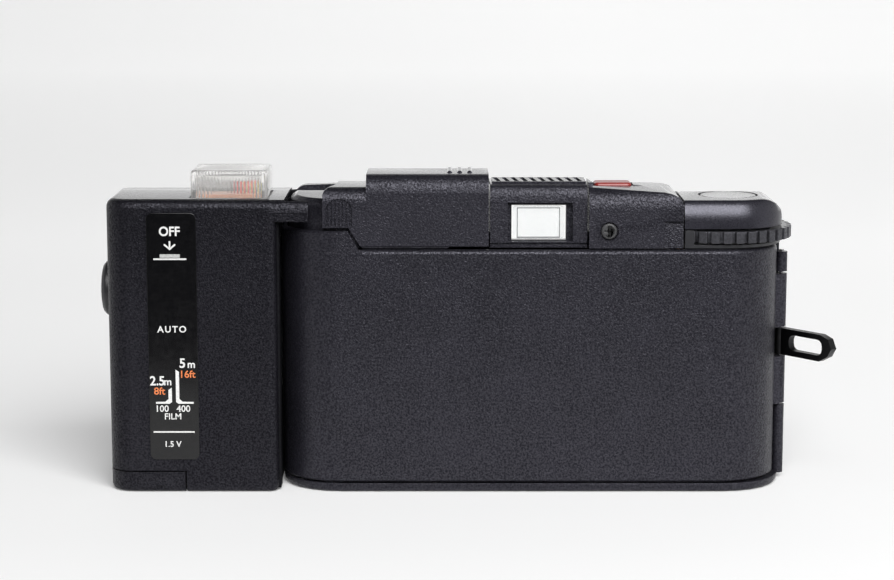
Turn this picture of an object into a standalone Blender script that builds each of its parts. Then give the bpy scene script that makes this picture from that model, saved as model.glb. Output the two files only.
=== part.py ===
"""Compact 35 mm clamshell camera with a detachable flash at its left end.

Frame: +X to the right seen from behind the camera, -Y towards the user's eye,
+Z up. Origin: on the resting plane, at the middle of the camera body's length.
All driving sizes are in millimetres and are turned into metres at the mesh.
Cutting tools overshoot open sides, so their outer limits are round numbers.
"""
import math

import bmesh
import bpy
from mathutils import Vector

MM = 0.001
GAP = 0.3                # visible joint between neighbouring housings

# ---- body
BODY_X0, BODY_X1 = -51.0, 51.0
BODY_BACK, BODY_FRONT = -14.6, 13.6
R_BACK, R_FRONT = 12.3, 9.0            # plan corner radii
BASE_TOP = 1.85
TIER_Z0, TIER_Z1 = BASE_TOP + GAP, 49.5
UPPER_Z0 = TIER_Z1 + GAP
UPPER_BACK = -12.9       # rear face of the left cover and the viewfinder
SHELL_WALL = 1.2
DOOR_X1 = 50.0
DOOR_WALL = 1.1
DOOR_TAB_Z = 53.2
SLIDER_X1 = -9.0         # right edge of the sliding cover
SEAM_X = 11.0            # joint between finder housing and fixed right housing
HOUSING_X1 = 29.8        # right end of the fixed right housing
BASE_SCREWS = ((-44.5, 7.0), (44.5, 7.0))

# ---- film path, vertical axes as (x, y)
CASSETTE = CASS_X, CASS_Y = -33.6, -0.2
CASSETTE_R = 12.6
TAKEUP = TAKE_X, TAKE_Y = 38.6, -0.3
TAKEUP_R = 9.6
SPROCKET = SPROCKET_X, SPROCKET_Y = 24.3, -7.0
SPROCKET_R = 5.7
BAY_Z0, BAY_TOP = 3.6, 45.6            # floor and roof of the take-up side bays
CASSETTE_TOP = 47.8
FILM_Y = -11.6
LENS = LENS_X, LENS_Z = 0.5, 28.5

# ---- other axes
BUTTON_CELLS = (-10.0, 4.0)            # x, y
TRIPOD = (5.5, 2.0)                    # x, y
COUNTER = (40.0, -1.4)                 # x, y
SHUTTER_BUTTON = (17.0, 0.5)           # x, y
HOUSING_SCREW = (15.0, 53.2)           # x, z
CRANK_PIVOT = (CASS_X + 4.2, 1.3)      # x, z

# ---- wheel and gears
WHEEL_R, WHEEL_TEETH = 14.5, 36
WHEEL_Z0, WHEEL_Z1 = 50.75, 53.1
GEAR_TEETH, GEAR_PITCH_R = 10, 3.95
GEAR_Z0, GEAR_Z1 = 47.5, 49.1
GEAR_BACKLASH = 0.12
IDLER = IDLER_X, IDLER_Y = (TAKE_X + SPROCKET_X) / 2, (TAKE_Y + SPROCKET_Y) / 2
GEAR_LINE = math.atan2(SPROCKET_Y - TAKE_Y, SPROCKET_X - TAKE_X)

# ---- hinge
HINGE = HINGE_X, HINGE_Y = 51.3, -1.0
KNUCKLE_R, PIN_R, PIN_CLEAR = 1.2, 0.5, 0.06

# ---- flash
FLASH_X0, FLASH_X1 = -85.65, BODY_X0 - GAP
FLASH_WALL_X = -53.9     # inner face of the flash's right-hand wall
FLASH_BACK, FLASH_FRONT = -14.6, 14.0
FLASH_TOP = 59.55
FLASH_SPLIT = 9.0        # y of the joint between case and front
FLASH_CORNERS = (5.0, 1.8, 1.8, 5.0)
FLASH_FOOT = [(0, 1.2), (0.35, 0.35), (1.2, 0)]              # (z, inset)
FLASH_LEVELS = FLASH_FOOT + [(57.7, 0), (58.3, 0.1), (58.85, 0.38),
                             (59.25, 0.85), (FLASH_TOP, 1.6)]
FLASH_CELL = (-77.3, -6.1)             # x, y
CLAMP = (3.0, 39.2)                    # y, z of the clamp screw

for old in list(bpy.data.objects):
    bpy.data.objects.remove(old, do_unlink=True)

ROOT = bpy.data.objects.new("camera_frame", None)
bpy.context.scene.collection.objects.link(ROOT)


# ---------------------------------------------------------------- materials
def material(name, rgb, roughness, metallic=0.0, transmission=0.0):
    mat = bpy.data.materials.new(name)
    mat.use_nodes = True
    inputs = mat.node_tree.nodes["Principled BSDF"].inputs
    inputs["Base Color"].default_value = (*rgb, 1.0)
    inputs["Roughness"].default_value = roughness
    inputs["Metallic"].default_value = metallic
    inputs["Transmission Weight"].default_value = transmission
    mat.diffuse_color = (*rgb, 1.0)
    return mat


BLACK = material("black_plastic", rgb=(0.022, 0.022, 0.026), roughness=0.5)
INNER = material("inner_black", rgb=(0.012, 0.012, 0.012), roughness=0.8)
RED = material("red_button", rgb=(0.6, 0.03, 0.02), roughness=0.4)
CLEAR = material("clear_plastic", rgb=(0.95, 0.97, 1.0), roughness=0.05, transmission=0.9)
GLASS = material("optical_glass", rgb=(0.97, 0.98, 1.0), roughness=0.02, transmission=0.95)
STEEL = material("steel", rgb=(0.55, 0.55, 0.56), roughness=0.3, metallic=1.0)
BRASS = material("brass", rgb=(0.7, 0.5, 0.2), roughness=0.35, metallic=1.0)
BLACK_METAL = material("black_metal", rgb=(0.03, 0.03, 0.03), roughness=0.35, metallic=0.8)
BOARD = material("circuit_board", rgb=(0.05, 0.18, 0.07), roughness=0.5)
ORANGE = material("neon_orange", rgb=(0.9, 0.2, 0.03), roughness=0.3)
LABEL = material("label_black", rgb=(0.01, 0.01, 0.011), roughness=0.3)
WRAP = material("cell_wrap", rgb=(0.16, 0.16, 0.2), roughness=0.4)


# ---------------------------------------------------------------- shapes
# A shape given a material is a finished piece; without one it is a boolean tool.
def signed_volume(mesh):
    mesh.calc_loop_triangles()
    total = 0.0
    for tri in mesh.loop_triangles:
        a, b, c = (mesh.vertices[i].co for i in tri.vertices)
        total += a.dot(b.cross(c))
    return total


def ring_loft(rings, name="tool", mat=None, sharp_angle=30):
    """Closed body through rings of equal point count, capped at both ends."""
    bm = bmesh.new()
    loops = [[bm.verts.new(p) for p in ring] for ring in rings]
    count = len(rings[0])
    for low, high in zip(loops, loops[1:]):
        for i in range(count):
            j = (i + 1) % count
            bm.faces.new((low[i], low[j], high[j], high[i]))
    bm.faces.new(loops[0][::-1])
    bm.faces.new(loops[-1])
    bmesh.ops.remove_doubles(bm, verts=bm.verts, dist=1e-5)
    bmesh.ops.recalc_face_normals(bm, faces=bm.faces)
    for vert in bm.verts:
        vert.co *= MM
    mesh = bpy.data.meshes.new(name)
    bm.to_mesh(mesh)
    bm.free()
    if signed_volume(mesh) < 0:
        mesh.flip_normals()
    obj = bpy.data.objects.new(name, mesh)
    bpy.context.scene.collection.objects.link(obj)
    if mat:
        mesh.materials.append(mat)
        mesh.shade_smooth()
        mesh.set_sharp_from_angle(angle=math.radians(sharp_angle))
        obj.parent = ROOT
    return obj


def place(a, b, height, axis):
    return {"z": (a, b, height), "y": (a, height, b), "x": (height, a, b)}[axis]


def corner_points(x0, x1, y0, y1, radii, steps, inset=0.0):
    """Rounded rectangle, counter-clockwise from the low corner."""
    if not hasattr(radii, "__len__"):
        radii = (radii,) * 4
    x0, x1, y0, y1 = x0 + inset, x1 - inset, y0 + inset, y1 - inset
    corners = ((x0, y0, 1, 1), (x1, y0, -1, 1), (x1, y1, -1, -1), (x0, y1, 1, -1))
    points = []
    for k, (x, y, x_sign, y_sign) in enumerate(corners):
        radius = max(radii[k] - inset, 0.05)
        for i in range(steps + 1):
            angle = math.pi + k * math.pi / 2 + (math.pi / 2) * i / steps
            points.append((x + x_sign * radius + radius * math.cos(angle),
                           y + y_sign * radius + radius * math.sin(angle)))
    return points


def flat(low, high):
    """Slab levels with no inset."""
    return [(low, 0), (high, 0)]


def slab(rect, radii, levels, steps=4, axis="z", name="tool", mat=None):
    """Rounded-rectangle slab; levels are (height, inset) pairs."""
    rings = [[place(a, b, height, axis) for a, b in corner_points(*rect, radii, steps, inset)]
             for height, inset in levels]
    return ring_loft(rings, name, mat)


def prism(points, low, high, axis="z", name="tool", mat=None):
    return ring_loft([[place(a, b, h, axis) for a, b in points] for h in (low, high)], name, mat)


def box(x0, x1, y0, y1, z0, z1, name="tool", mat=None):
    return prism([(x0, y0), (x1, y0), (x1, y1), (x0, y1)], z0, z1, "z", name, mat)


def y_taper(*stations, name="tool", mat=None):
    """Rectangular frustum along Y through (y, x0, x1, z0, z1) stations."""
    rings = [[(x0, y, z0), (x1, y, z0), (x1, y, z1), (x0, y, z1)]
             for y, x0, x1, z0, z1 in stations]
    return ring_loft(rings, name, mat)


def turned(center, profile, sides=20, axis="z", name="tool", mat=None):
    """Solid of revolution through (height, radius) pairs."""
    angles = [2 * math.pi * i / sides for i in range(sides)]
    rings = [[place(center[0] + radius * math.cos(angle), center[1] + radius * math.sin(angle),
                    height, axis) for angle in angles]
             for height, radius in profile]
    return ring_loft(rings, name, mat)


def rod(center, radius, low, high, sides=20, axis="z", chamfer=0.0, name="tool", mat=None):
    profile = [(low, radius), (high, radius)]
    if chamfer:
        profile = [(low, radius - chamfer), (low + chamfer, radius),
                   (high - chamfer, radius), (high, radius - chamfer)]
    return turned(center, profile, sides, axis, name, mat)


def tube(center, outer_r, inner_r, low, high, sides, axis, name, mat):
    outer = rod(center, outer_r, low, high, sides, axis, name=name, mat=mat)
    return cut(outer, rod(center, inner_r, low - 1, high + 1, sides, axis))


def coil(center, radius, wire, z0, z1, turns, name, mat):
    """Compression spring: a round wire swept along a helix."""
    turn_steps, wire_sides = 10, 5
    last = turns * turn_steps
    rings = []
    for i in range(last + 1):
        angle = 2 * math.pi * i / turn_steps
        height = z0 + wire + (z1 - z0 - 2 * wire) * i / last
        ring = []
        for k in range(wire_sides):
            around = 2 * math.pi * k / wire_sides
            reach = radius + wire * math.cos(around)
            ring.append((center[0] + reach * math.cos(angle), center[1] + reach * math.sin(angle),
                         height + wire * math.sin(around)))
        rings.append(ring)
    return ring_loft(rings, name, mat, sharp_angle=80)


def toothed_outline(center, teeth, tooth, phase=0.0):
    """Repeats one tooth, given as (fraction of pitch, radius) points, round a centre."""
    pitch = 2 * math.pi / teeth
    points = []
    for i in range(teeth):
        for fraction, radius in tooth:
            angle = phase + i * pitch + fraction * pitch
            points.append((center[0] + radius * math.cos(angle),
                           center[1] + radius * math.sin(angle)))
    return points


def gear(center, pitch_r, phase, name="tool", mat=None):
    """Spur gear with plain tapered teeth; phase is the angle of one tooth's centre."""
    module = 2 * pitch_r / GEAR_TEETH
    tip, root = pitch_r + module * 0.85, pitch_r - module * 1.15
    thinning = GEAR_BACKLASH / pitch_r * 0.5 / (2 * math.pi / GEAR_TEETH)
    flanks = ((-0.36, root), (-0.25, pitch_r), (-0.11, tip),
              (0.11, tip), (0.25, pitch_r), (0.36, root))
    tooth = [(f - math.copysign(thinning, f), radius) for f, radius in flanks]
    points = toothed_outline(center, GEAR_TEETH, tooth, phase)
    return prism(points, GEAR_Z0, GEAR_Z1, "z", name, mat)


def boolean(obj, tool, operation):
    """Applies one boolean and deletes the tool."""
    mod = obj.modifiers.new("b", "BOOLEAN")
    mod.operation, mod.solver, mod.object = operation, "EXACT", tool
    depsgraph = bpy.context.evaluated_depsgraph_get()
    mesh = bpy.data.meshes.new_from_object(obj.evaluated_get(depsgraph))
    obj.modifiers.clear()
    old_mesh, materials = obj.data, list(obj.data.materials)
    obj.data = mesh
    bpy.data.meshes.remove(old_mesh)
    mesh.materials.clear()
    for mat in materials:
        mesh.materials.append(mat)
    for face in mesh.polygons:
        face.material_index = 0
    mesh.set_sharp_from_angle(angle=math.radians(30))
    tool_mesh = tool.data
    bpy.data.objects.remove(tool)
    bpy.data.meshes.remove(tool_mesh)


def cut(obj, *tools):
    for tool in tools:
        boolean(obj, tool, "DIFFERENCE")
    return obj


def join(obj, *tools):
    for tool in tools:
        boolean(obj, tool, "UNION")
    return obj


def set_origin(obj, x, y, z):
    """Moves the object's origin to a point of its joint's axis."""
    offset = Vector((x, y, z)) * MM
    for vert in obj.data.vertices:
        vert.co -= offset
    obj.location = offset


def pin_hole(z0=0, z1=49):
    return rod(HINGE, PIN_R + PIN_CLEAR, z0, z1, 12)


# ================================================================ chassis
def chassis():
    body = slab((-49.3, 48.5, FILM_Y, 12.1), (10, 10, 7.5, 7.5), flat(TIER_Z0, 49.2), 3,
                name="chassis", mat=INNER)
    # Film bays, each a round well opened towards the back
    cut(body,
        rod(CASSETTE, CASSETTE_R, BAY_Z0, CASSETTE_TOP, 24),
        box(CASS_X - 12.4, CASS_X + 12.4, -20, CASS_Y, BAY_Z0, CASSETTE_TOP),
        rod(TAKEUP, TAKEUP_R, BAY_Z0, BAY_TOP, 24),
        box(TAKE_X - 9.4, TAKE_X + 9.0, -20, TAKE_Y, BAY_Z0, BAY_TOP),
        rod(SPROCKET, SPROCKET_R, BAY_Z0, BAY_TOP, 16),
        box(19.0, 31.5, -20, SPROCKET_Y - 1.0, BAY_Z0, BAY_TOP))
    # Tapered film opening and the square pocket in front of it
    cut(body,
        y_taper((-13, -17.5, 18.5, 16.5, 40.5), (2.2, -12.5, 13.5, 18, 39)),
        box(-13.5, 14.5, 1.9, 20, 15.6, 41.4))
    # Cell and tripod wells, gear pocket, shaft holes
    cut(body,
        rod(BUTTON_CELLS, 6.1, 0, 14.6, 20),
        rod(TRIPOD, 4.5, 0, 9.0, 16),
        box(17.5, 44.5, -12.5, 5.5, 46.9, 52),
        rod(TAKEUP, 1.9, 40, 52, 12),
        rod(SPROCKET, 1.6, 40, 52, 12),
        rod(SPROCKET, 2.6, 0, 5, 12),
        rod(CASSETTE, 3.9, 0, 5, 16),
        rod(CASSETTE, 7.0, 0, 2.6, 16))
    # Latch channel, circuit board tray, notch behind the focusing tab
    cut(body,
        box(-50.5, -47.3, -6.2, -1.8, 0, 52),
        box(-16.0, 17.0, -4, 12.5, 44.2, 52),
        box(-6.0, 7.0, 11.2, 20, 12.4, 17))
    for place_xy in BASE_SCREWS:
        cut(body, rod(place_xy, 1.0, 0, 8, 10))
    join(body, rod(IDLER, 0.72, 45.9, 49.0, 12))
    cut(body, box(-50.5, -46.9, -8.2, -2, 8.0, 40.0))
    cut(body, rod(CLAMP, 2.9, -60, -47.6, 14, "x"))


# ================================================================ shells
def front_shell():
    shell = slab((BODY_X0, BODY_X1, -12, BODY_FRONT), (3, 3, R_FRONT, R_FRONT),
                 flat(TIER_Z0, TIER_Z1), 5, name="front_shell", mat=BLACK)
    inner_r = R_FRONT - SHELL_WALL
    cut(shell,
        slab((BODY_X0 + SHELL_WALL, BODY_X1 - SHELL_WALL, -14, BODY_FRONT - SHELL_WALL),
             (2, 2, inner_r, inner_r), flat(-1, 60), 5),
        box(-60, 60, -20, 0.7, -5, 60),
        rod(LENS, 9.2, 5, 20, 28, "y"))
    for z0, z1 in ((1.1, 15.5), (43.3, 47.4)):
        join(shell, rod(HINGE, KNUCKLE_R, z0, z1, 14))
        join(shell, box(50.0, 51.25, -0.6, 1.6, max(z0, 2.4), z1 - 0.01))
    cut(shell, pin_hole())
    # Fan for the focusing tab, slot for the aperture lever, clamp socket hole
    top_z, bottom_z = LENS_Z - 6.0, LENS_Z - 15.8
    fan = [(LENS_X - 3.5, top_z), (LENS_X - 5.6, bottom_z),
           (LENS_X + 5.6, bottom_z), (LENS_X + 3.5, top_z)]
    cut(shell, prism(fan, 8, 20, "y"))
    cut(shell, box(13.8, 26.2, 8, 20, 33.4, 34.6))
    cut(shell, rod(CLAMP, 2.9, -60, -48.0, 14, "x"))


def base_plate():
    plate = slab((BODY_X0, BODY_X1, BODY_BACK, BODY_FRONT), (R_BACK, R_BACK, R_FRONT, R_FRONT),
                 [(0, 1.0), (0.3, 0.3), (1.0, 0), (BASE_TOP, 0)], 6, name="base_plate", mat=BLACK)
    cut(plate,
        rod(CASSETTE, 6.9, -1, 4, 24),
        rod(BUTTON_CELLS, 6.7, -1, 4, 24),
        rod(TRIPOD, 4.5, -1, 4, 16),
        rod(SPROCKET, 2.5, -1, 4, 14),
        box(49.7, 53, -2.8, 0.8, -1, 4))
    for place_xy in BASE_SCREWS:
        cut(plate, rod(place_xy, 1.9, -1, 1.0, 14), rod(place_xy, 1.0, -1, 4, 10))


def base_screws():
    profile = [(0.15, 1.3), (0.3, 1.6), (0.9, 1.6), (0.95, 0.8), (6.5, 0.8), (7.0, 0.4)]
    for i, (x, y) in enumerate(BASE_SCREWS, 1):
        screw = turned((x, y), profile, 12, name=f"base_screw_{i}", mat=STEEL)
        cut(screw,
            box(x - 1.0, x + 1.0, y - 0.22, y + 0.22, 0, 0.55),
            box(x - 0.22, x + 0.22, y - 1.0, y + 1.0, 0, 0.55))


def tripod_socket():
    tube(TRIPOD, 4.2, 3.15, 0.1, 8.0, 18, "z", "tripod_socket", STEEL)


# ================================================================ rear door
def rear_door():
    rect = (BODY_X0, DOOR_X1, BODY_BACK, 14)
    corners = (R_BACK, R_BACK, 2, 2)
    inner_r = R_BACK - DOOR_WALL
    door = slab(rect, corners,
                [(TIER_Z0, 0.35), (TIER_Z0 + 0.35, 0), (DOOR_TAB_Z - 0.4, 0), (DOOR_TAB_Z, 0.4)],
                7, name="rear_door", mat=BLACK)
    # The last cut lowers the top edge everywhere but at the tab on the left
    cut(door,
        slab((BODY_X0 + DOOR_WALL, DOOR_X1 - DOOR_WALL, BODY_BACK + DOOR_WALL, 20),
             (inner_r, inner_r, 2, 2), flat(-1, 60), 7),
        box(-60, 60, 0.4, 30, -5, 60),
        box(30, 60, -2.6, 30, -5, 60),
        prism([(-37.3, 60), (-37.3, 53.6), (-34.9, TIER_Z1), (60, TIER_Z1), (60, 60)],
              -30, 30, "y"))
    # Rounds the lowered edge: a band with the rounded door taken out of it
    rim = box(-34.2, 60, -30, 30, 48.4, 49.6)
    rounding = [(48.3, 0), (48.6, 0), (48.9, 0.07), (49.15, 0.22),
                (49.36, 0.46), (49.48, 0.78), (49.7, 0.78)]
    cut(rim, slab(rect, corners, rounding, 7))
    cut(door, rim)
    for z0, z1 in ((15.9, 25.8), (31.9, 42.9)):
        join(door, rod(HINGE, KNUCKLE_R, z0, z1, 14))
        join(door, box(49.2, 51.2, -3.4, -1.3, z0 + 0.01, z1 - 0.01))
    cut(door, pin_hole())
    set_origin(door, *HINGE, 25)


def door_hinge_pin():
    rod(HINGE, PIN_R, 0.9, 47.8, 12, name="door_hinge_pin", mat=STEEL)


def pressure_plate():
    plate = box(-19.5, 20.5, -12.75, -12.0, 13.0, 44.0, "pressure_plate", BLACK_METAL)
    cut(plate, *[box(x, x + 3, -14, -11, 26.5, 30.5) for x in (-14, 12)])


def pressure_spring():
    """Slightly bowed leaf behind the pressure plate."""
    thickness = 0.16
    bow = [(-16 + 33 * i / 10, -13.2 + 0.08 * math.sin(math.pi * i / 10)) for i in range(11)]
    prism(bow + [(x, y + thickness) for x, y in bow[::-1]], 24.0, 33.0,
          name="pressure_spring", mat=STEEL)


def strap_lug():
    """Slotted plate on the hinge axis, swung 50 degrees back from +X."""
    swing = math.radians(-50)
    cosine, sine = math.cos(swing), math.sin(swing)
    length, z0, z1 = 14.5, 26.1, 31.6

    def plate(outline, half):
        """Extrudes a (length, z) outline to both sides of the lug's mid-plane."""
        return [[(HINGE_X + s * cosine - offset * sine, HINGE_Y + s * sine + offset * cosine, z)
                 for s, z in outline] for offset in (-half, half)]

    outline = [(0.0, z0), (length - 3.2, z0), (length - 1.0, 27.3), (length, 29.0),
               (length - 0.9, 30.9), (length - 3.0, z1), (0.0, z1)]
    lug = ring_loft(plate(outline, 0.8), "strap_lug", BLACK_METAL)
    join(lug, rod(HINGE, 1.3, z0, z1, 16))
    slot = corner_points(3.2, 12.0, 27.3, 30.5, 1.2, 3)
    cut(lug, ring_loft(plate(slot, 2.0)), pin_hole(20, 40))
    set_origin(lug, *HINGE, 28.85)


# ================================================================ upper tier
def top_cover_left():
    cover = slab((-49.5, 40, UPPER_BACK, BODY_FRONT), (11.0, 2, 2, R_FRONT),
                 [(UPPER_Z0, 0), (57.6, 0), (58.6, 0.4), (59.4, 1.6)], 6,
                 name="top_cover_left", mat=BLACK)
    front_fall = [(2.5, 59.5), (6.0, 59.1), (9.0, 58.4), (11.5, 57.2), (13.0, 55.9),
                  (13.9, 54.0), (30, 54.0), (30, 70), (2.5, 70)]                    # (y, z)
    cut(cover,
        box(SLIDER_X1 - GAP, 60, -30, 30, 40, 70),
        prism(front_fall, -60, 10, "x"),
        slab((-48.3, 60, -11.7, 8.0), (9.8, 1, 1, 3.4), flat(40, 57.4)),
        slab((-48.3, 60, -11.7, 12.4), (9.8, 1, 1, 7.8), flat(40, 53.6)))
    join(cover, box(-34.3, -17.0, -14.0, -12.5, UPPER_Z0, 50.0))


def viewfinder_housing():
    side = [(UPPER_BACK, UPPER_Z0), (BODY_FRONT, UPPER_Z0), (BODY_FRONT, 58.3), (12.2, 59.9),
            (9.4, 61.0), (3.0, 61.95), (-11.0, 62.25), (-11.7, 62.05), (-12.2, 61.6),
            (-12.55, 60.95), (-12.8, 60.1), (UPPER_BACK, 59.0)]                     # (y, z)
    finder = prism(side, SLIDER_X1 + GAP, SEAM_X - GAP, "x", "viewfinder_housing", BLACK)
    cut(finder,
        box(-5.2, 7.8, -20, -11.6, 51.0, 58.8),         # eyepiece recess
        box(-4.4, 6.45, -20, 20, 51.15, 58.2),          # sight tunnel
        box(-10, 12, -20, -12.45, 50.35, 50.75),        # groove across the back
        box(-7.4, 9.4, 12.0, 20, 50.9, 57.2),           # objective recess
        box(-7.5, 9.5, -9.5, 10.5, 40, 50.6))           # underside pocket
    # Raised pad on top, with slanted grooves
    join(finder, box(-8.3, 10.5, -9.6, -1.9, 62.0, 62.72))
    for i in range(10):
        x = -7.3 + 1.81 * i
        groove = [(x, -9.1), (x + 0.85, -9.1), (x + 0.05, -2.3), (x - 0.8, -2.3)]
        cut(finder, prism(groove, 62.02, 64))


def viewfinder_windows():
    slab((-4.1, 6.15, 51.45, 57.9), 0.6, [(-11.2, 0), (-10.9, 0), (-10.0, 0)], 3, "y",
         "viewfinder_eyepiece", GLASS)
    slab((-7.1, 9.1, 51.2, 56.9), 0.8, flat(12.3, 13.2), 3, "y", "viewfinder_objective", GLASS)


def top_cover_right():
    """Fixed right housing with its wheel pocket and button well."""
    inner_x = SEAM_X + 1.2
    outline = [(SEAM_X, UPPER_Z0), (HOUSING_X1, UPPER_Z0), (HOUSING_X1, 58.4), (29.5, 59.2),
               (28.8, 60.0), (27.6, 60.55), (26.0, 60.85), (SEAM_X, 61.75)]         # (x, z)
    front_fall = [(-1.0, 61.85), (1.8, 61.4), (5.0, 60.75), (9.0, 59.5), (12.0, 58.0),
                  (13.7, 56.6), (20, 56.6), (20, 70), (-1.0, 70)]                   # (y, z)
    back_relief = [(-14.8, UPPER_Z0 - 1), (-14.12, UPPER_Z0 - 1), (-13.4, 55.1),
                   (-14.8, 55.3)]                                                   # (y, z)
    back_round = [(-14.21, 57.3), (-14.1, 58.4), (-13.85, 59.3), (-13.45, 60.1),
                  (-12.95, 60.7), (-12.3, 61.2), (-11.4, 61.7), (-11.4, 65),
                  (-18, 65), (-18, 57.3)]                                           # (y, z)
    cover = prism(outline, -14.2, BODY_FRONT, "y", "top_cover_right", BLACK)
    cut(cover,
        prism([(inner_x, 40), (40, 40), (40, 58.0), (28.4, 58.2), (26.4, 59.2), (inner_x, 59.8)],
              -12.3, 7.0, "y"),
        prism([(inner_x, 40), (40, 40), (40, 56.2), (inner_x, 56.2)], -13.0, 12.4, "y"),
        rod(TAKEUP, WHEEL_R + 0.5, 50.4, 53.45, 40),
        box(12.4, 20.6, -2.7, 3.7, 58, 70),
        box(SEAM_X - 1, 22.3, -8.4, -2.6, 61.05, 70),
        prism(front_fall, 0, 40, "x"),
        rod(HOUSING_SCREW, 1.9, -20, -13.5, 16, "y"),
        rod(HOUSING_SCREW, 1.05, -20, -10, 12, "y"),
        prism(back_relief, 26.0, 32, "x"),
        prism(back_round, 0, 40, "x"))
    # Wedge rib on top beside the finder seam
    rib_x = SEAM_X + 0.02
    join(cover, prism([(rib_x, -9.4), (SEAM_X + 0.9, -9.4), (SEAM_X + 0.2, -2.2), (rib_x, -2.2)],
                      60.8, 62.5))


def housing_screw():
    profile = [(-14.15, 1.35), (-13.95, 1.6), (-13.65, 1.6), (-13.6, 0.85), (-10.5, 0.85)]
    screw = turned(HOUSING_SCREW, profile, 16, "y", "housing_screw", STEEL)
    x, z = HOUSING_SCREW
    cut(screw,
        box(x - 1.1, x + 1.1, -16, -13.75, z - 0.22, z + 0.22),
        box(x - 0.22, x + 0.22, -16, -13.75, z - 1.1, z + 1.1))


def wheel_deck():
    """Floor under the advance wheel, with a curved lip below its back edge."""
    deck_x0 = HOUSING_X1 + GAP
    deck = slab((20, BODY_X1 - GAP, -14.0, BODY_FRONT), (2, R_BACK, R_FRONT, 2),
                flat(UPPER_Z0, 50.4), 6, name="wheel_deck", mat=BLACK)
    lip = slab((20, 48.6, -13.2, 10), (2, 10.9, 2, 2), flat(48.9, 50.1), 6)
    cut(lip, slab((10, 47.7, -12.3, 20), (2, 10.0, 2, 2), flat(40, 60), 6),
        box(0, 60, -8.0, 30, 40, 60))
    join(deck, lip)
    post = [(30.15, -14.0), (31.9, -14.0), (31.9, -13.6), (31.4, -13.3), (30.15, -12.9)]  # (x, y)
    join(deck, prism(post, 50.0, 53.35))
    cut(deck, box(0, deck_x0, -30, 30, 40, 60), rod(TAKEUP, 1.9, 40, 60, 14))


def end_cap_right():
    levels = [(53.55, 0), (55.2, 0.04), (56.3, 0.2), (57.3, 0.5), (58.1, 0.9),
              (58.7, 1.35), (59.0, 1.75), (59.1, 2.2)]                              # (z, inset)
    front_fall = [(4.0, 59.12), (8.0, 58.6), (11.0, 57.5), (12.7, 56.2), (13.7, 54.7),
                  (20, 54.7), (20, 70), (4.0, 70)]                                  # (y, z)
    end_fall = [(45.2, 59.2), (47.4, 58.85), (49.2, 57.9), (50.4, 56.5), (51.1, 54.7),
                (60, 54.7), (60, 70), (45.2, 70)]                                   # (x, z)
    cap = slab((20, BODY_X1, -13.2, BODY_FRONT), (2, 11.0, R_FRONT, 2), levels, 6,
               name="end_cap_right", mat=BLACK)
    cut(cap,
        box(0, HOUSING_X1 + GAP, -30, 30, 40, 70),
        prism(front_fall, 0, 60, "x"),
        prism(end_fall, -30, 30, "y"),
        slab((10, 48.6, -11.6, 9.0), (1, 8.0, 5.0, 1), [(40, 0), (55.6, 0), (57.45, 1.3)]),
        rod(COUNTER, 6.1, 40, 70, 28))
    join(cap, box(24.0, 33.0, -6.0, 3.5, 57.5, 58.1))


def frame_counter():
    rod(COUNTER, 5.8, 57.7, 59.05, 28, chamfer=0.2, name="counter_window", mat=CLEAR)
    profile = [(54.5, 0.9), (56.6, 0.9), (56.62, 7.5), (57.2, 7.5), (57.25, 7.2)]
    dial = turned(COUNTER, profile, 24, name="counter_dial", mat=BLACK)
    set_origin(dial, *COUNTER, 57)


# ================================================================ controls
def shutter_button():
    button = slab((12.7, 20.3, -2.4, 3.4), 0.9, [(58.6, 0), (61.25, 0), (61.6, 0.35)], 3,
                  name="shutter_button", mat=RED)
    join(button, rod(SHUTTER_BUTTON, 1.4, 53.4, 59.0, 12))
    set_origin(button, *SHUTTER_BUTTON, 58)
    coil(SHUTTER_BUTTON, 2.15, 0.25, 54.2, 58.2, 4, "shutter_spring", STEEL)


def advance_wheel():
    """Thumb wheel, its spindle and the gear under it."""
    root = WHEEL_R - 0.9
    tooth = ((-0.34, WHEEL_R), (0.34, WHEEL_R), (0.36, root), (0.64, root))
    wheel = prism(toothed_outline(TAKEUP, WHEEL_TEETH, tooth), WHEEL_Z0, WHEEL_Z1,
                  name="advance_wheel", mat=BLACK)
    join(wheel, rod(TAKEUP, 1.6, 43.4, 52.0, 14))
    join(wheel, gear(TAKEUP, GEAR_PITCH_R, GEAR_LINE))
    set_origin(wheel, *TAKEUP, 52)


def idler_gear():
    """Turned half a tooth to mesh with both neighbours."""
    idler = gear(IDLER, GEAR_PITCH_R - 0.02, GEAR_LINE + math.pi / GEAR_TEETH,
                 "idler_gear", BRASS)
    cut(idler, rod(IDLER, 0.8, GEAR_Z0 - 1, GEAR_Z1 + 1, 12))
    set_origin(idler, *IDLER, 48)


def sprocket_shaft():
    hub_r, tip_r = 4.4, 5.3
    tooth = ((-0.30, hub_r), (-0.10, hub_r), (-0.045, tip_r),
             (0.045, tip_r), (0.10, hub_r), (0.30, hub_r))
    shaft = rod(SPROCKET, 1.3, 3.95, 49.15, 12, name="sprocket_shaft", mat=STEEL)
    for z in (14.0, 39.0):
        join(shaft, prism(toothed_outline(SPROCKET, 6, tooth), z, z + 2.2))
    join(shaft, gear(SPROCKET, GEAR_PITCH_R, GEAR_LINE))
    set_origin(shaft, *SPROCKET, 27)


def takeup_spool():
    flange_r, core_r = 8.6, 6.0
    profile = [(4.0, flange_r), (5.0, flange_r), (5.02, core_r),
               (43.9, core_r), (43.92, flange_r), (44.9, flange_r)]
    spool = turned(TAKEUP, profile, name="takeup_spool", mat=BLACK)
    cut(spool, rod(TAKEUP, 1.7, 36, 50, 12),
        box(TAKE_X + 4, TAKE_X + 7, TAKE_Y - 0.7, TAKE_Y + 0.7, 12, 38))
    set_origin(spool, *TAKEUP, 25)


# ================================================================ sliding cover
DOME_TOP, DOME_X0 = 60.45, -49.4
DOME_WALL = 1.3
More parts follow.
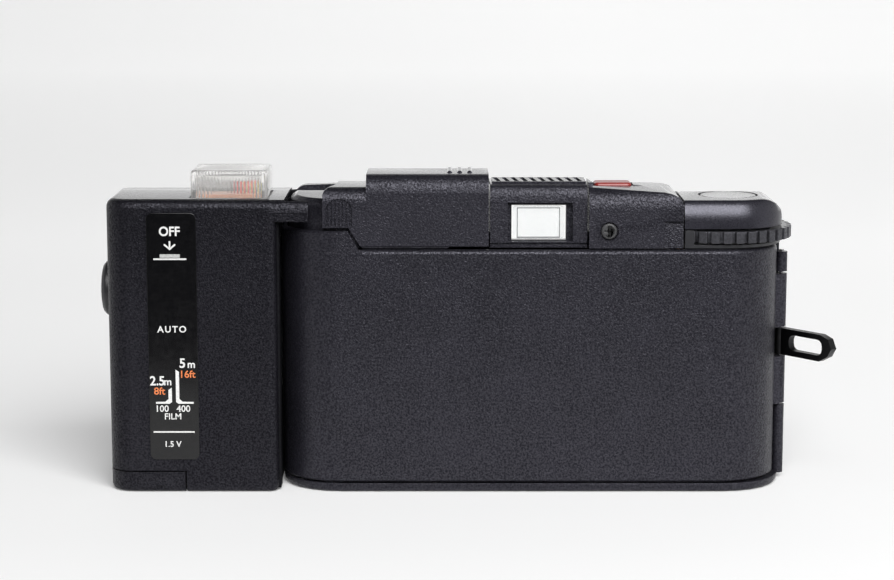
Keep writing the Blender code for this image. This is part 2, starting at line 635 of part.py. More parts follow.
# (y, inset) stations of the dome, outside and inside
DOME_OUTSIDE = [(13.9, 0.0), (16.5, 0.0), (20.0, 1.2), (22.8, 3.6), (24.6, 7.4),
                (25.3, 11.5), (25.4, 14.0)]
DOME_INSIDE = [(10.0, 0.0), (16.2, 0.0), (19.4, 1.2), (21.9, 3.6), (23.6, 7.4), (24.1, 11.5)]
HUMP_X0 = -33.4          # left edge of the raised part of the roof
TIER_X0 = -42.1          # left edge of the lower part of the roof
# (x, z) outline of the back wall
SLIDER_WALL = [(TIER_X0, 53.9), (-36.9, 53.9), (-34.6, 50.2), (SLIDER_X1, 50.2),
               (SLIDER_X1, 60.9), (HUMP_X0, 60.9), (HUMP_X0, 59.0), (TIER_X0, 59.0)]
# (y, z) sections of the roof
HUMP_OUT = [(-14.2, 60.8), (-14.1, 61.7), (-13.85, 62.5), (-13.45, 63.2), (-12.85, 63.8),
            (-12.1, 64.2), (-11.2, 64.39), (0.5, 64.3), (5.0, 63.8), (9.5, 62.8),
            (13.0, 61.5), (15.3, 60.3)]
HUMP_IN = [(15.3, 59.4), (14.0, 59.4), (12.6, 60.2), (9.0, 61.7), (4.6, 62.7), (0.4, 63.2),
           (-11.6, 63.2), (-12.6, 62.8), (-13.1, 62.0), (-13.3, 61.1)]
HUMP_END_IN = [(15.3, 59.4), (14.0, 59.5), (5.0, 60.3), (-12.6, 60.3), (-13.3, 59.8),
               (-14.2, 59.0)]
TIER_OUT = [(-14.2, 58.9), (-14.1, 59.7), (-13.85, 60.4), (-13.45, 61.0), (-12.9, 61.5),
            (-12.2, 61.75), (-11.6, 61.85), (0.0, 61.7), (5.0, 61.2), (10.0, 60.4),
            (15.3, 59.6)]
TIER_IN = [(15.3, 58.6), (14.0, 58.6), (10.0, 59.4), (5.0, 60.2), (0.0, 60.7),
           (-12.0, 60.75), (-12.8, 60.3), (-13.2, 59.6), (-13.3, 58.9)]
# Corner trims of the lower roof: plan (x, y) and back view (x, z)
TIER_PLAN_TRIM = [(-60, -13.0), (-42.0, -13.0), (-41.2, -11.5), (-40.2, -9.0), (-39.6, -5.0),
                  (-39.2, 40), (-60, 40)]
TIER_BACK_TRIM = [(-60, 60.4), (-42.11, 60.4), (-41.8, 61.2), (-41.1, 61.7), (-40.0, 61.95),
                  (-40, 70), (-60, 70)]


def dome_ring(y, inset):
    """Rounded section whose upper edge falls towards the camera's left end."""
    corners = (6, 4, 3.5, 2.2)
    ring = []
    for x, z in corner_points(DOME_X0, SLIDER_X1, 2.6, DOME_TOP, corners, 5, inset):
        leftness = max(0.0, (-34.0 - x) / 15.0)
        upness = max(0.0, min(1.0, (z - 40) / 15))
        ring.append((x, y, z - 1.3 * leftness * upness))
    return ring


def thumb_pad(slider):
    """Round-topped recess in the back wall, filled with upright ribs."""
    pad_x, half_width = -38.8, 2.6
    pad = [(pad_x + half_width * math.cos(math.radians(a)),
            57.5 + 2.2 * math.sin(math.radians(a))) for a in range(0, 181, 15)]
    cut(slider, prism(pad + [(-41.4, 54.3), (-36.2, 54.3)], -15.0, -13.85, "y"))
    for i in range(6):
        x = -40.85 + 0.74 * i
        across = (x + 0.2 - pad_x) / half_width
        top = 57.4 + 2.0 * math.sqrt(max(0.0, 1.0 - across ** 2))
        join(slider, box(x, x + 0.36, -14.3, -13.7, 54.0, top))


def sliding_cover():
    slider = ring_loft([dome_ring(y, inset) for y, inset in DOME_OUTSIDE],
                       "sliding_cover", BLACK)
    cut(slider, ring_loft([dome_ring(y, inset + DOME_WALL) for y, inset in DOME_INSIDE]))
    join(slider, prism(SLIDER_WALL, -14.2, -13.3, "y"))
    join(slider, prism(HUMP_OUT + HUMP_IN, HUMP_X0, SLIDER_X1, "x"))
    tier = prism(TIER_OUT + TIER_IN, TIER_X0, -32.9, "x")
    cut(tier, prism(TIER_PLAN_TRIM, 50, 70), prism(TIER_BACK_TRIM, -20, -10, "y"))
    join(slider, tier)
    join(slider, prism(HUMP_OUT + HUMP_END_IN, HUMP_X0, -32.3, "x"))
    thumb_pad(slider)
    # Three round-backed ridges on the roof near its right edge
    for i in range(3):
        x = -17.3 + 2.0 * i
        ridge = [(x + 0.55 * (1 - math.cos(math.radians(a))),
                  64.2 + 0.6 * math.sin(math.radians(a))) for a in range(0, 181, 30)]
        join(slider, prism(ridge + [(x + 1.1, 63.9), (x, 63.9)], -8.6, -1.8, "y"))
    set_origin(slider, -30, 0, 60)


# ================================================================ lens and shutter
BLADE_REACH, BLADE_RISE = 8.2, 6.4     # blade pivots from the lens axis, in x and z
BLADE_PIVOT_Z = LENS_Z + BLADE_RISE


def lens():
    barrel = turned(LENS, [(8.3, 10.0), (9.3, 10.0), (9.35, 7.2), (13.1, 7.2), (13.4, 6.9)],
                    28, "y", "lens_barrel", BLACK)
    cut(barrel, turned(LENS, [(5, 4.4), (9.5, 4.4), (11.8, 5.4), (14, 6.3)], 24, "y"))
    turned(LENS, [(9.9, 3.4), (10.0, 4.0), (11.6, 4.8), (12.4, 3.6), (12.7, 2.0)],
           20, "y", "front_lens", GLASS)
    turned(LENS, [(2.5, 2.4), (2.8, 4.0), (3.4, 4.2), (4.2, 4.2), (4.5, 2.4)],
           20, "y", "rear_lens", GLASS)


def shutter_plate():
    plate = slab((-12.9, 13.9, 16.2, 40.8), 2.0, flat(5.0, 6.0), 3, "y",
                 "shutter_plate", BLACK_METAL)
    cut(plate, rod(LENS, 4.6, 0, 10, 20, "y"))
    join(plate, *[rod((LENS_X + side * BLADE_REACH, BLADE_PIVOT_Z), 0.55, 5.5, 8.0, 10, "y")
                  for side in (-1, 1)])


def shutter_blades():
    for name, side, y in (("shutter_blade_a", -1, 6.4), ("shutter_blade_b", 1, 7.3)):
        x, z = LENS_X + side * BLADE_REACH, BLADE_PIVOT_Z
        outline = [(x + side * 1.3, z), (x + side * 1.1, z + 1.2), (x - side * 1.0, z + 1.3),
                   (LENS_X - side * 5.0, LENS_Z + 2.5), (LENS_X - side * 5.2, LENS_Z - 5.2),
                   (LENS_X + side * 4.0, LENS_Z - 5.4), (LENS_X + side * 5.6, LENS_Z + 1.0)]
        blade = prism(outline[::side], y, y + 0.5, "y", name, BLACK_METAL)
        cut(blade, rod((x, z), 0.62, 0, 12, 12, "y"))
        set_origin(blade, x, 7, z)


def focus_ring():
    ring = tube(LENS, 8.8, 7.4, 10.2, 13.3, 28, "y", "focus_ring", BLACK)
    tab = corner_points(LENS_X - 1.6, LENS_X + 1.6, LENS_Z - 15.0, LENS_Z - 8.0, 0.8, 3)
    join(ring, prism(tab, 11.6, 13.2, "y"))
    set_origin(ring, LENS_X, 15, LENS_Z)


def aperture_lever():
    lever = slab((17.5, 22.5, 32.0, 36.0), 0.8, [(13.9, 0), (15.0, 0), (15.4, 0.4)], 3, "y",
                 "aperture_lever", BLACK)
    join(lever, box(19.3, 20.7, 12.3, 14.2, 33.6, 34.4))
    set_origin(lever, 20, 15, 34)


# ================================================================ camera electrics
def button_cells():
    """Two stacked cells and their cover."""
    rim, face, neck = 5.8, 5.5, 4.9
    turned(BUTTON_CELLS, [(2.4, face), (2.7, rim), (7.6, rim), (7.7, neck),
                          (8.0, neck), (8.1, rim), (13.2, rim), (13.5, face)],
           name="button_cells", mat=STEEL)
    cover = rod(BUTTON_CELLS, 6.4, 0.3, 2.1, 24, chamfer=0.2, name="battery_cover", mat=BLACK)
    cut(cover, box(-14.0, -6.0, 3.5, 4.5, -1, 0.9))
    set_origin(cover, *BUTTON_CELLS, 1)


def circuit_board():
    board = box(-15.5, 16.5, -3.4, 11.9, 45.6, 46.6, "circuit_board", BOARD)
    join(board, box(-8, 2, 0, 7, 46.4, 47.8), box(6, 10, -2, 2, 46.4, 47.4))


# ================================================================ rewind and latch
def rewind():
    bush = tube(CASSETTE, 3.5, 2.08, 2.7, 5.2, 16, "z", "rewind_bush", STEEL)
    set_origin(bush, *CASSETTE, 4)

    pivot_x = CRANK_PIVOT[0]
    shaft = turned(CASSETTE, [(1.2, 6.3), (2.05, 6.3), (2.1, 2.0), (9.0, 2.0)],
                   name="rewind_shaft", mat=STEEL)
    cut(shaft,
        box(CASS_X - 3, CASS_X + 3, CASS_Y - 0.7, CASS_Y + 0.7, 6.5, 10),
        box(CASS_X + 2.8, CASS_X + 5.75, CASS_Y - 1.6, CASS_Y + 1.6, 0.5, 2.4))
    join(shaft,
         rod(CRANK_PIVOT, 0.35, CASS_Y - 2.2, CASS_Y + 2.2, 8, "y"),
         box(pivot_x - 0.6, pivot_x + 0.6, CASS_Y - 2.6, CASS_Y - 1.9, 0.9, 1.6),
         box(pivot_x - 0.6, pivot_x + 0.6, CASS_Y + 1.9, CASS_Y + 2.6, 0.9, 1.6))
    set_origin(shaft, *CASSETTE, 2)

    y0, y1 = CASS_Y - 1.2, CASS_Y + 1.2
    crank = slab((CASS_X - 5.4, pivot_x + 0.7, y0, y1), 0.9, flat(0.25, 0.85), 3,
                 name="rewind_crank", mat=BLACK_METAL)
    join(crank, rod(CRANK_PIVOT, 0.8, y0, y1, 10, "y"))
    cut(crank, rod(CRANK_PIVOT, 0.42, -10, 10, 10, "y"))
    set_origin(crank, pivot_x, CASS_Y, CRANK_PIVOT[1])


def rewind_button():
    button = rod(SPROCKET, 2.1, 0.3, 2.5, 16, chamfer=0.25, name="rewind_button", mat=STEEL)
    set_origin(button, *SPROCKET, 1.4)


def door_latch():
    latch = box(-49.1, -47.7, -5.7, -2.3, 6.0, 46.0, "door_latch", STEEL)
    for z in (12.0, 36.0):
        join(latch, box(-48.4, -47.7, -7.2, -5.0, z, z + 3.0))
    set_origin(latch, -48.4, -4, 26)


# ================================================================ flash
def flash_shell(back, name):
    return slab((FLASH_X0, FLASH_X1, back, FLASH_FRONT), FLASH_CORNERS, FLASH_LEVELS, 5,
                name=name, mat=BLACK)


def flash_top_fall():
    """Trims the top where it falls to the front; (y, z) outline."""
    outline = [(1.0, 59.57), (12.2, 58.95), (13.1, 58.6), (13.6, 58.1), (13.9, 57.4),
               (30, 57.4), (30, 70), (1.0, 70)]
    return prism(outline, -100, -40, "x")


def flash_door_notch():
    return box(FLASH_X0 - 5, -69.9, -30, 30, -5, 4.5)


def flash_case():
    case = flash_shell(FLASH_BACK, "flash_case")
    join(case, box(-52.8, -49.8, -12.95, FLASH_SPLIT, 58.7, 59.4))
    cut(case,
        slab((FLASH_X0 + 1.0, FLASH_WALL_X, FLASH_BACK + 1.2, 40), (3.8, 0.8, 0.8, 0.8),
             flat(1.3, 57.9)),
        flash_top_fall(),
        box(-52.7, -49, -12.9, 40, -5, 58.4),           # seat of the mounting plate
        box(-100, 0, FLASH_SPLIT, 40, -5, 80),
        flash_door_notch(),
        box(-68.9, -52.95, -10.8, 3.3, 52.1, 70),       # lit button opening
        rod(CLAMP, 1.9, -100, -40, 14, "x"))
    # Knob recess in the left end, sunk in two passes
    for depth_x in (-85.5, -85.4):
        cut(case, rod(CLAMP, 6.1, -100, depth_x, 24, "x"))
    # Strip at the top of the back, reaching right over the camera; (y, z) outline
    strip = [(-13.3, 55.1), (-13.3, 59.2), (-13.7, 59.1), (-14.05, 58.8), (-14.32, 58.3),
             (-14.5, 57.75), (-14.6, 57.1), (-14.6, 56.9), (-14.42, 56.85), (-14.42, 55.35),
             (-14.2, 55.1)]
    join(case, prism(strip, -53.0, -44.9, "x"))


def flash_front():
    front = flash_shell(-14, "flash_front")
    join(front, box(-52.8, -49.8, -5.0, 12.3, 58.7, 59.4))
    cut(front,
        box(-100, 0, -40, FLASH_SPLIT + GAP, -5, 80),
        slab((FLASH_X0 + 1.0, FLASH_WALL_X, 0, 12.7), (1, 1, 0.8, 3.8), flat(1.3, 57.9)),
        flash_top_fall(),
        box(-52.7, -49, 0, 12.3, -5, 58.4),
        flash_door_notch(),
        box(-81.3, -57.7, 10, 30, 41.5, 56.5))


def flash_battery_door():
    door = slab((FLASH_X0, -60, FLASH_BACK, FLASH_FRONT), (5.0, 1, 1, 5.0),
                FLASH_FOOT + [(4.2, 0)], 5, name="flash_battery_door", mat=BLACK)
    cut(door,
        box(-70.2, -50, -30, 30, -5, 10),
        slab((FLASH_X0 + 1.0, -50, FLASH_BACK + 1.2, FLASH_FRONT - 1.2), (3.8, 1, 1, 3.8),
             flat(1.3, 10)),
        box(-76.2, -74.3, -16, -14.2, 0.5, 1.4))
    set_origin(door, -78, 0, 2)


def flash_head():
    """Window, dished reflector and tube."""
    slab((-81.0, -58.0, 41.8, 56.2), 0.6, [(12.9, 0), (14.0, 0), (14.3, 0.3)], 2, "y",
         "flash_window", CLEAR)
    reflector = y_taper((12.5, -80.2, -58.8, 42.4, 55.6), (5.2, -78.0, -61.0, 46.0, 52.0),
                        name="flash_reflector", mat=STEEL)
    cut(reflector, y_taper((12.9, -79.6, -59.4, 43.0, 55.0), (6.0, -77.4, -61.6, 46.6, 51.4)))
    rod((8.6, 49.0), 1.3, -76.4, -62.6, 12, "x", name="flash_tube", mat=GLASS)


def flash_electrics():
    rod((-61.0, -5.4), 6.3, 3.0, 36.5, chamfer=0.5, name="flash_capacitor", mat=WRAP)
    box(-69.9, -68.7, -12.0, 7.6, 5.2, 36.0, "flash_board", BOARD)
    cell = rod(FLASH_CELL, 7.0, 5.6, 55.0, chamfer=0.5, name="flash_battery", mat=WRAP)
    join(cell, rod(FLASH_CELL, 2.6, 54.5, 56.4, 14))
    coil(FLASH_CELL, 3.4, 0.35, 1.7, 5.3, 3, "battery_spring", STEEL)


def flash_button():
    """Hollow clear button on top, with the neon lamp inside."""
    button = slab((-68.6, -53.2, -10.5, 3.0), 0.8, [(57.4, 0), (64.5, 0), (65.0, 0.5)], 3,
                  name="flash_button", mat=CLEAR)
    join(button, slab((-68.59, -54.1, -10.49, 2.99), 0.8, flat(53.0, 57.9), 3))
    cut(button, box(-67.4, -55.3, -9.3, 1.8, 40, 63.7),
        box(-67.3, -54.4, -9.31, 1.81, 58.1, 63.69))
    set_origin(button, -61.3, -3.7, 60)
    lamp = rod((-3.6, 60.5), 1.3, -60.2, -56.2, 12, "x", 0.4, "neon_lamp", ORANGE)
    join(lamp, box(-66.5, -55.6, -5.6, -1.6, 58.6, 59.5))


def flash_mounting():
    """Clamp screw, mounting plate and the socket in the camera's left end."""
    profile = [(-88.5, 3.6), (-88.2, 5.0), (-87.5, 5.7), (-85.75, 5.7), (-85.7, 1.6),
               (-49.8, 1.6), (-49.4, 1.2)]
    knob = turned(CLAMP, profile, 24, "x", "flash_clamp_screw", BLACK)
    set_origin(knob, -70, *CLAMP)

    plan = [(-52.4, -12.6), (-50.95, -12.6), (-50.95, -8.6), (-51.3, -7.0), (-51.3, 12.0),
            (-52.4, 12.0)]                                                          # (x, y)
    plate = prism(plan, 0.5, 58.1, name="flash_mount_plate", mat=BLACK)
    join(plate, box(-51.6, -49.8, -1.0, 3.0, 53.7, 58.0))
    cut(plate, rod(CLAMP, 1.9, -60, -40, 14, "x"))
    tube(CLAMP, 2.6, 1.7, -50.9, -47.9, 14, "x", "flash_socket", BRASS)


def flash_label():
    slab((-77.1, -67.2, 6.9, 57.0), 1.2, [(-14.95, 0.05), (-14.9, 0)], 4, "y",
         "flash_label", LABEL)


for build in (
        chassis, front_shell, base_plate, base_screws, tripod_socket,
        rear_door, door_hinge_pin, pressure_plate, pressure_spring, strap_lug,
        top_cover_left, viewfinder_housing, viewfinder_windows, top_cover_right, housing_screw,
        wheel_deck, end_cap_right, frame_counter,
        shutter_button, advance_wheel, idler_gear, sprocket_shaft, takeup_spool,
        sliding_cover, lens, shutter_plate, shutter_blades, focus_ring, aperture_lever,
        button_cells, circuit_board, rewind, rewind_button, door_latch,
        flash_case, flash_front, flash_battery_door, flash_head, flash_electrics,
        flash_button, flash_mounting, flash_label):
    build()
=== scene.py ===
"""Looks of a compact film camera with its flash: meshes, materials, printing, stage and light.

The camera stands on z = 0 with its width along X. The flash is at the -X end, and the view
looks along +Y at the -Y side. Pieces are modelled in millimetres, the stage in metres.
"""
import math

import bmesh
import bpy
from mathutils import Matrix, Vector

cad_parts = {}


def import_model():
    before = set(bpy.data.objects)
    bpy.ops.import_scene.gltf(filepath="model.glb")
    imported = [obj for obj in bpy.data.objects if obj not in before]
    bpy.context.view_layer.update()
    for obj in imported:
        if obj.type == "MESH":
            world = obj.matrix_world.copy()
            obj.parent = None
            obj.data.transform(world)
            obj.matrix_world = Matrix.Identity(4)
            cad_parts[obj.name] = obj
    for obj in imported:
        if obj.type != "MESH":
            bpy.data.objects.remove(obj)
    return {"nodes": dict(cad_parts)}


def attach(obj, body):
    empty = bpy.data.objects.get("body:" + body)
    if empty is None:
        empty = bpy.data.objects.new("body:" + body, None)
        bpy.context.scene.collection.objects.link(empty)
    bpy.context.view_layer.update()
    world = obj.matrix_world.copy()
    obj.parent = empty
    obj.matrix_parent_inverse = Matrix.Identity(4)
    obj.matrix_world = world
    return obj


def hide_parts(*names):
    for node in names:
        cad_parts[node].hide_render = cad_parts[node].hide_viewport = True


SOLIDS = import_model()["nodes"]
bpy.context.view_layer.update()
MM = 0.001


# ============================================================ shader graphs
NOISE_SPAN = (0.3, 0.7)  # the part of a noise's range that carries its contrast


def scaled(color, factor):
    return tuple(channel * factor for channel in color)


def rgba(color):
    return (*color, 1.0)


class Graph:
    """Node tree with a short method for each kind of node; most return an output socket."""

    def __init__(self, tree):
        self.tree = tree

    def feed(self, socket, value):
        """Links an output to the socket, or stores a plain value in it."""
        if isinstance(value, bpy.types.NodeSocket):
            self.tree.links.new(value, socket)
        else:
            socket.default_value = value

    def node(self, kind, inputs, **settings):
        node = self.tree.nodes.new("ShaderNode" + kind)
        for key, value in settings.items():
            setattr(node, key, value)
        for key, value in inputs.items():
            self.feed(node.inputs[key], value)
        return node

    def coords(self, space="Object"):
        return self.node("TexCoord", {}).outputs[space]

    def split(self, vector):
        return self.node("SeparateXYZ", {0: vector}).outputs

    def noise(self, vector, scale, detail=2.0, rough=0.5):
        inputs = {"Scale": scale, "Detail": detail, "Roughness": rough, "Vector": vector}
        return self.node("TexNoise", inputs).outputs["Fac"]

    def cells(self, vector, scale):
        inputs = {"Scale": scale, "Vector": vector}
        return self.node("TexVoronoi", inputs, feature="SMOOTH_F1").outputs["Distance"]

    def math(self, operation, *values):
        return self.node("Math", dict(enumerate(values)), operation=operation).outputs[0]

    def remap(self, value, target, source=NOISE_SPAN):
        inputs = {"From Min": source[0], "From Max": source[1],
                  "To Min": target[0], "To Max": target[1], "Value": value}
        return self.node("MapRange", inputs).outputs["Result"]

    def ramp(self, value, stops):
        """Colour ramp through (position, colour) stops."""
        node = self.node("ValToRGB", {"Fac": value})
        elements = node.color_ramp.elements
        while len(elements) < len(stops):
            elements.new(0.5)
        for element, (position, color) in zip(elements, stops):
            element.position = position
            element.color = rgba(color)
        return node.outputs["Color"]

    def mottle(self, value, low, high, span=NOISE_SPAN):
        return self.ramp(value, list(zip(span, (low, high))))

    def mix(self, factor, first, second):
        inputs = {"Factor": factor, "A": first, "B": second}
        return self.node("Mix", inputs, data_type="RGBA").outputs["Result"]


class Look(Graph):
    """Graph of a new material, with its Principled surface."""

    def __init__(self, name):
        self.material = bpy.data.materials.new(name)
        self.material.use_nodes = True
        super().__init__(self.material.node_tree)
        self.bsdf = self.tree.nodes["Principled BSDF"]

    def surface(self, values):
        for key, value in values.items():
            self.feed(self.bsdf.inputs[key], value)

    def bump(self, height, depth):
        """Surface relief; depth in mm."""
        node = self.node("Bump", {"Distance": depth * MM, "Height": height})
        self.surface({"Normal": node.outputs["Normal"]})

    def glancing_sheen(self, fade_plus_x=False):
        """Clear skin that only shows at glancing angles; it can fade on faces towards +X."""
        facing = self.node("LayerWeight", {"Blend": 0.5}).outputs["Facing"]
        weight = self.remap(facing, source=(0.80, 0.93), target=(0.0, 1.0))
        if fade_plus_x:
            normal = self.split(self.node("NewGeometry", {}).outputs["Normal"])
            fade = self.remap(normal["X"], source=(0.5, 0.85), target=(1.0, 0.0))
            weight = self.math("MULTIPLY", weight, fade)
        self.surface({"Coat Weight": weight, "Coat Roughness": 0.12, "Coat IOR": 1.6})


# ============================================================ kinds of material
def moulded(name, base, rough, spec=0.5, grain=0.45, depth=0.10, wear=0.25, fleck=1.0,
            sheen=True, fade_plus_x=False):
    """Pebbled plastic with mottled colour and paler high edges.

    grain is the pebble size and depth its relief, both in mm. wear is how far the high edges
    lighten, and fleck how strongly the specular level varies from spot to spot.
    """
    look = Look(name)
    vector = look.coords()
    # Texture scales count features per metre.
    pebbles = look.cells(vector, scale=1000.0 / grain)
    fine = look.noise(vector, scale=1000.0 / (grain * 0.6), detail=1.0)
    patches = look.noise(vector, scale=90.0, detail=3.0, rough=0.55)
    height = look.math("ADD", look.math("MULTIPLY", pebbles, 0.5),
                       look.math("MULTIPLY", fine, 1.0))
    pointiness = look.node("NewGeometry", {}).outputs["Pointiness"]
    edge = look.remap(pointiness, source=(0.52, 0.60), target=(0.0, 1.0))
    color = look.mottle(patches, low=scaled(base, 0.82), high=scaled(base, 1.2))
    worn = rgba(min(1.0, channel * 2.6 + 0.01) for channel in base)
    look.surface({
        "Base Color": look.mix(look.math("MULTIPLY", edge, wear), color, worn),
        "Roughness": look.remap(fine, target=(rough - 0.05, rough + 0.06)),
    })
    specks = look.noise(vector, scale=1000.0 / (grain * 0.85), detail=1.0)
    speck_levels = (spec * (0.75 - 0.5 * fleck), spec * (0.75 + 0.5 * fleck))
    look.surface({
        "Specular IOR Level": look.remap(specks, source=(0.34, 0.66), target=speck_levels),
        "Specular Tint": (0.88, 0.87, 1.0, 1.0),
    })
    look.bump(height, depth)
    if sheen:
        look.glancing_sheen(fade_plus_x)
    return look.material


def smooth_plastic(name, base, rough, coat=0.0):
    """Plain plastic, with an even clear coat or else the glancing sheen."""
    look = Look(name)
    vector = look.coords()
    patches = look.noise(vector, scale=260.0, detail=3.0, rough=0.55)
    look.surface({"Base Color": look.mottle(patches, scaled(base, 0.9), scaled(base, 1.1))})
    smudges = look.noise(vector, scale=900.0)
    look.surface({"Roughness": look.remap(smudges, target=(rough - 0.03, rough + 0.05))})
    look.bump(look.noise(vector, scale=1400.0), depth=0.0015)
    if coat:
        look.surface({"Coat Weight": coat})
    else:
        look.glancing_sheen()
    return look.material


def metal(name, base, rough):
    look = Look(name)
    grain = look.noise(look.coords(), scale=2200.0, detail=3.0, rough=0.6)
    look.surface({
        "Base Color": look.mottle(grain, low=scaled(base, 0.86), high=base),
        "Roughness": look.remap(grain, target=(rough - 0.06, rough + 0.08)),
        "Metallic": 1.0,
    })
    look.bump(grain, depth=0.002)
    return look.material


def clear(name, tint, rough, ior):
    look = Look(name)
    smudges = look.noise(look.coords(), scale=700.0)
    look.surface({
        "Base Color": rgba(tint),
        "Transmission Weight": 1.0,
        "IOR": ior,
        "Roughness": look.remap(smudges, target=(rough, rough + 0.03)),
    })
    return look.material


def ink(name, low, high):
    look = Look(name)
    grain = look.noise(look.coords(), scale=3000.0)
    look.surface({"Base Color": look.mottle(grain, low, high, span=(0.3, 0.6)),
                  "Roughness": 0.5})
    return look.material


def glowing(name, base, low, high, strength, scale, detail):
    """Emissive surface whose light varies softly between two colours."""
    look = Look(name)
    patches = look.noise(look.coords(), scale, detail)
    look.surface({"Emission Color": look.mottle(patches, low, high),
                  "Emission Strength": strength,
                  "Base Color": rgba(base)})
    return look.material


def neon_glow():
    """Lamp glow: orange in its lowest part, above that grey, red and yellow along X."""
    look = Look("neon_glow")
    place = look.split(look.coords("Generated"))
    wobble = look.math("MULTIPLY", look.noise(look.coords(), scale=900.0), 0.06)
    along = look.ramp(look.math("ADD", place["X"], wobble), [
        (0.66, (0.10, 0.085, 0.08)),
        (0.74, (0.62, 0.05, 0.04)),
        (0.86, (0.62, 0.08, 0.04)),
        (0.93, (0.45, 0.42, 0.08)),
    ])
    upper = look.remap(place["Z"], source=(0.26, 0.34), target=(0.0, 1.0))
    color = look.mix(upper, rgba((0.55, 0.22, 0.10)), along)
    look.surface({"Base Color": color, "Emission Color": color,
                  "Emission Strength": 0.22, "Roughness": 0.3})
    return look.material


def lamp_acrylic_painted_glow():
    look = Look("lamp_acrylic_painted_glow")
    smudges = look.noise(look.coords(), scale=900.0)
    look.surface({
        "Base Color": rgba((0.90, 0.895, 0.885)),
        "Transmission Weight": 0.9,
        "IOR": 1.40,
        "Roughness": look.remap(smudges, target=(0.02, 0.10)),
        # Faint white emission: painted glow that brightens the clear block, which is no lamp.
        "Emission Color": rgba((1.0, 0.99, 0.97)),
        "Emission Strength": 0.04,
    })
    return look.material


def backdrop_white():
    """White paper that glows a little more towards +Y and +X."""
    look = Look("backdrop_white")
    patches = look.noise(look.coords(), scale=3.0)
    look.surface({
        "Base Color": look.mottle(patches, (0.765,) * 3, (0.79,) * 3, span=(0.2, 0.8)),
        "Roughness": 0.7,
        "Specular IOR Level": 0.1,
    })
    place = look.split(look.coords())
    near = look.remap(place["Y"], source=(-0.05, 0.35), target=(0.0, 0.24))
    far = look.remap(place["Y"], source=(0.35, 1.3), target=(0.0, 0.18))
    glow = look.math("ADD", near, far)
    across = look.remap(place["X"], source=(-0.45, 0.1), target=(0.0, 0.10))
    look.surface({"Emission Color": (1, 1, 1, 1),
                  "Emission Strength": look.math("ADD", glow, across)})
    return look.material


# ============================================================ materials
BODY_BLACK = (0.0100, 0.0096, 0.0130)

BODY = moulded("body_stippled", base=BODY_BLACK, rough=0.36, spec=0.42)
DOOR = moulded("door_stippled", base=BODY_BLACK, rough=0.36, spec=0.52)
FLASH = moulded("flash_stippled", base=(0.0045, 0.0043, 0.0060), rough=0.36, spec=0.32,
                fade_plus_x=True)
CAP = moulded("cap_satin", base=(0.0110, 0.0106, 0.0145), rough=0.30, spec=0.75,
              depth=0.012, fleck=0.12)
WHEEL = moulded("wheel_plastic", base=(0.024, 0.024, 0.027), rough=0.40, grain=0.5,
                depth=0.006, wear=0.5)
SMOOTH_BLACK = smooth_plastic("smooth_black", base=(0.022, 0.022, 0.025), rough=0.34)
# Dark matte black of the inner parts and the flash mount plate; on the gap filler beside the
# flash it is painted shade.
INNER_AND_SHADE_BLACK = moulded("inner_black", base=(0.006, 0.006, 0.007), rough=0.75, spec=0.1,
                depth=0.01, wear=0.0, sheen=False)
DEEP_BLACK = smooth_plastic("deep_black", base=(0.004, 0.004, 0.0045), rough=0.6)
LABEL = smooth_plastic("label_black", base=(0.0025, 0.0025, 0.003), rough=0.20)
RED = smooth_plastic("red_release", base=(0.22, 0.018, 0.014), rough=0.34, coat=0.2)
LUG = metal("lug_black", base=(0.035, 0.035, 0.037), rough=0.36)
BLACK_METAL = metal("black_enamel", base=(0.03, 0.03, 0.032), rough=0.42)
SCREW = smooth_plastic("screw_enamel", base=(0.045, 0.045, 0.047), rough=0.42)
STEEL = metal("plated_steel", base=(0.55, 0.55, 0.57), rough=0.28)
BRASS = metal("machined_brass", base=(0.68, 0.48, 0.20), rough=0.32)
ACRYLIC = clear("clear_acrylic", tint=(0.96, 0.97, 0.98), rough=0.03, ior=1.49)
GLASS = clear("optical_glass", tint=(0.97, 0.985, 0.99), rough=0.0, ior=1.52)
BOARD = smooth_plastic("board_green", base=(0.03, 0.16, 0.06), rough=0.35, coat=0.5)
SLEEVE = smooth_plastic("cell_sleeve", base=(0.05, 0.06, 0.12), rough=0.3, coat=0.4)
NEON = neon_glow()
WHITE_INK = ink("white_ink", low=(0.56, 0.56, 0.55), high=(0.70, 0.70, 0.69))
GREY_INK = ink("grey_ink", low=(0.34, 0.34, 0.34), high=(0.44, 0.44, 0.43))
ORANGE_INK = ink("orange_ink", low=(0.58, 0.15, 0.04), high=(0.70, 0.21, 0.07))


# ============================================================ carried-over solids
def by_name(groups):
    """Spreads (value, "names ...") groups into a value for each name."""
    return {name: value for value, names in groups for name in names.split()}


MATERIALS = by_name([
    (BODY, "front_shell base_plate top_cover_left viewfinder_housing top_cover_right "
           "sliding_cover"),
    (DOOR, "rear_door"),
    (CAP, "end_cap_right"),
    (WHEEL, "advance_wheel"),
    (FLASH, "flash_case flash_front flash_battery_door"),
    (SMOOTH_BLACK, "wheel_deck focus_ring aperture_lever battery_cover lens_barrel "
                   "flash_clamp_screw takeup_spool"),
    (INNER_AND_SHADE_BLACK, "flash_mount_plate chassis"),
    (DEEP_BLACK, "counter_dial"),
    (LABEL, "flash_label"),
    (LUG, "strap_lug"),
    (BLACK_METAL, "pressure_plate shutter_plate shutter_blade_a shutter_blade_b rewind_crank"),
    (SCREW, "housing_screw"),
    (STEEL, "base_screw_1 base_screw_2 tripod_socket door_hinge_pin pressure_spring "
            "shutter_spring battery_spring button_cells rewind_bush rewind_shaft door_latch "
            "rewind_button flash_reflector sprocket_shaft"),
    (BRASS, "idler_gear flash_socket"),
    (RED, "shutter_button"),
    (ACRYLIC, "flash_button flash_window counter_window"),
    (GLASS, "viewfinder_eyepiece viewfinder_objective front_lens rear_lens flash_tube"),
    (BOARD, "circuit_board flash_board"),
    (SLEEVE, "flash_battery flash_capacitor"),
    (NEON, "neon_lamp"),
])

